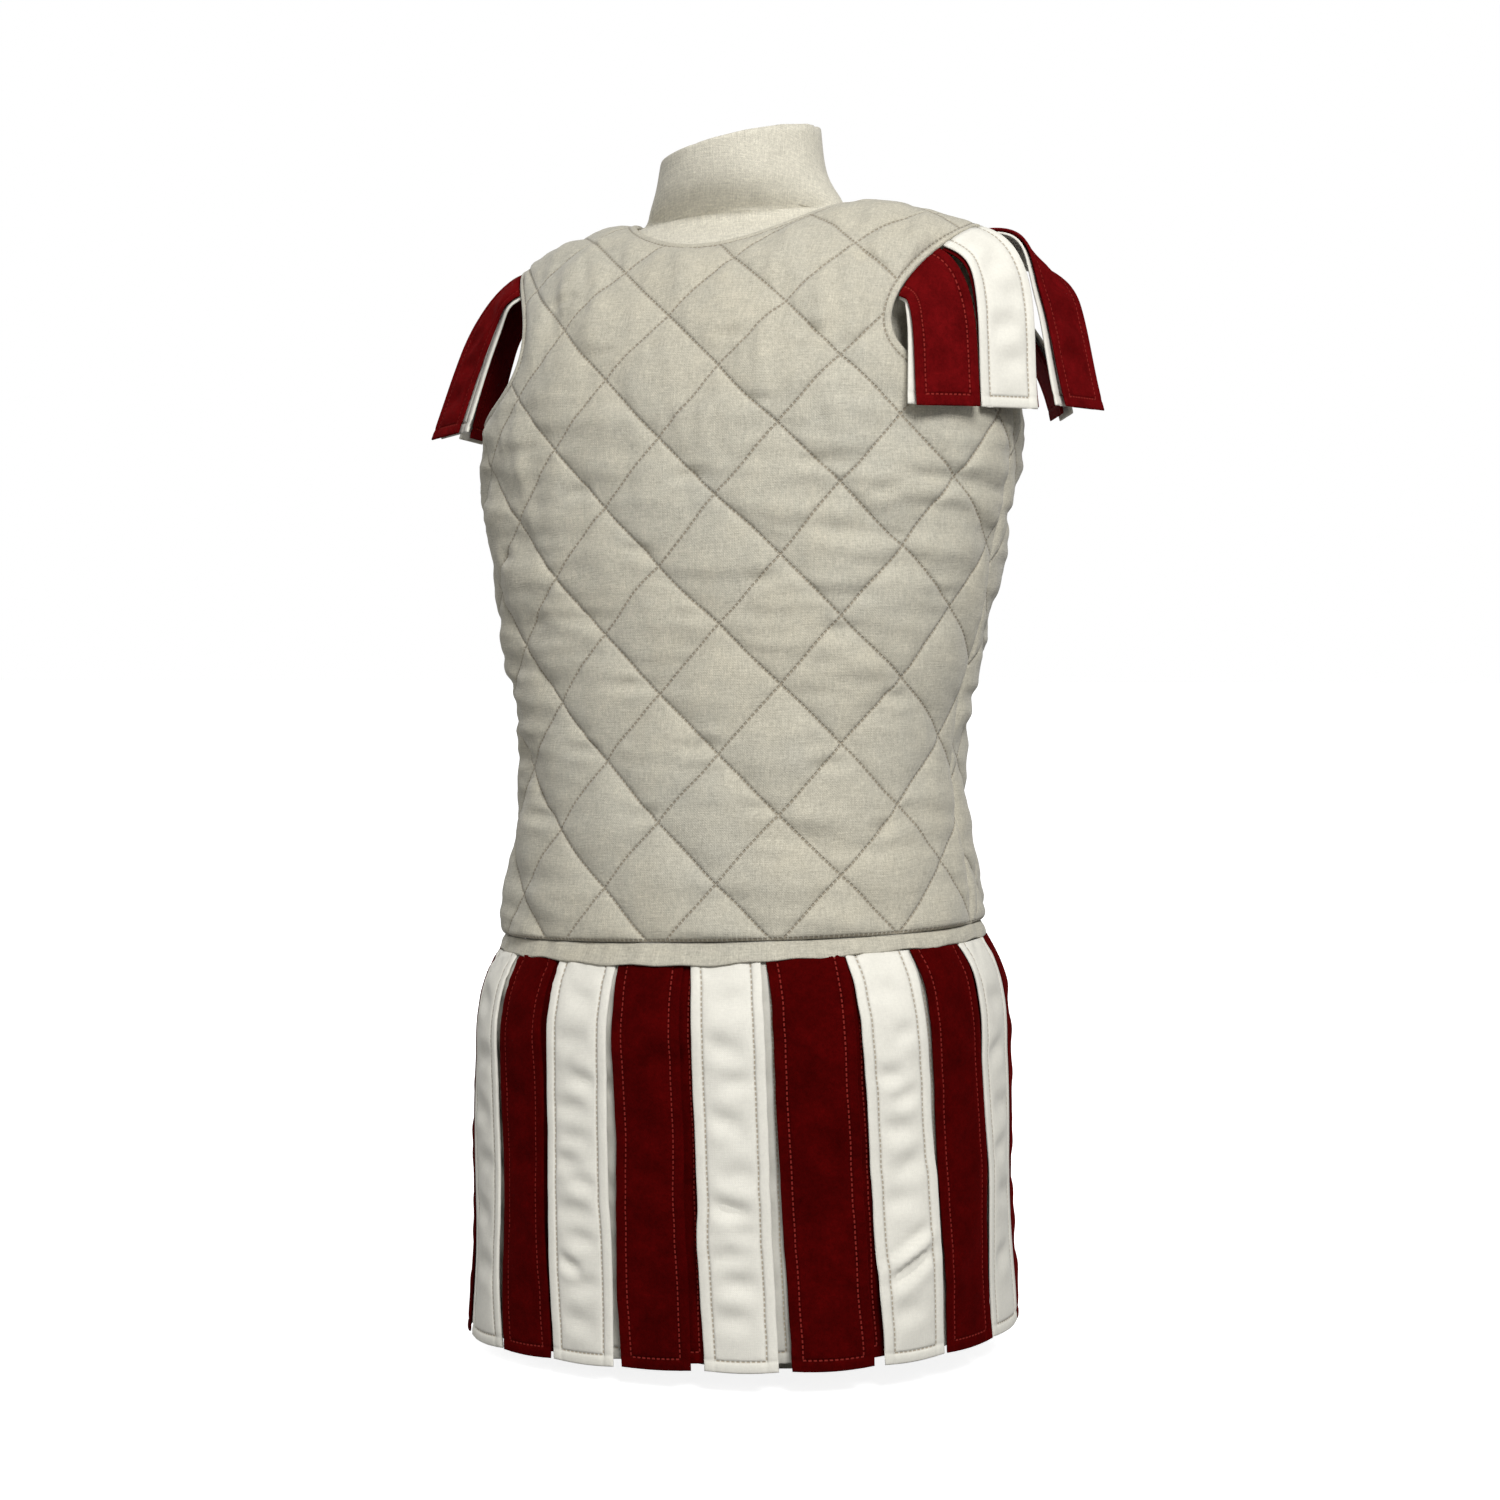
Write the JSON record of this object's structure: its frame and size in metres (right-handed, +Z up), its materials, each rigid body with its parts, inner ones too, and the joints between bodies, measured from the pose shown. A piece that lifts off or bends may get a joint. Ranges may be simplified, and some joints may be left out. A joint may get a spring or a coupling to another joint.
{
  "type": "gambeson on a dress form",
  "caption": "Sleeveless gambeson of diamond-quilted natural linen, with dark red and off-white hanging strips round the hips and shoulders, worn by a limbless dress form.",
  "frame": {"origin": "middle of the dress form's flat underside, which the part stands on", "axes": "+X towards the wearer's left, -Y towards the front, +Z up"},
  "size_m": [0.483, 0.3148, 0.8464],
  "materials": {
    "linen": "matte",
    "form_linen": "matte",
    "red": "matte",
    "white": "matte"
  },
  "bodies": {
    "root": {"dress_form": "form_linen", "front_panel": "linen", "back_panel": "linen", "waistband": "linen", "skirt_outer_00": "red", "skirt_inner_00": "red", "skirt_outer_01": "white", "skirt_inner_01": "white", "skirt_outer_02": "red", "skirt_inner_02": "red", "skirt_outer_03": "white", "skirt_inner_03": "white", "skirt_outer_04": "red", "skirt_inner_04": "red", "skirt_outer_05": "white", "skirt_inner_05": "white", "skirt_outer_06": "red", "skirt_inner_06": "red", "skirt_outer_07": "white", "skirt_inner_07": "white", "skirt_outer_08": "red", "skirt_inner_08": "red", "skirt_outer_09": "white", "skirt_inner_09": "white", "skirt_outer_10": "red", "skirt_inner_10": "red", "skirt_outer_11": "white", "skirt_inner_11": "white", "skirt_outer_12": "red", "skirt_inner_12": "red", "skirt_outer_13": "white", "skirt_inner_13": "white", "skirt_outer_14": "red", "skirt_inner_14": "red", "skirt_outer_15": "white", "skirt_inner_15": "white", "skirt_outer_16": "red", "skirt_inner_16": "red", "skirt_outer_17": "white", "skirt_inner_17": "white", "skirt_outer_18": "red", "skirt_inner_18": "red", "skirt_outer_19": "white", "skirt_inner_19": "white", "wing_left_0": "red", "wing_left_under_0": "white", "wing_left_1": "white", "wing_left_under_1": "red", "wing_left_2": "red", "wing_left_under_2": "white", "wing_left_3": "white", "wing_left_under_3": "red", "wing_right_0": "red", "wing_right_under_0": "white", "wing_right_1": "white", "wing_right_under_1": "red", "wing_right_2": "red", "wing_right_3": "white"}
  },
  "joints": []
}
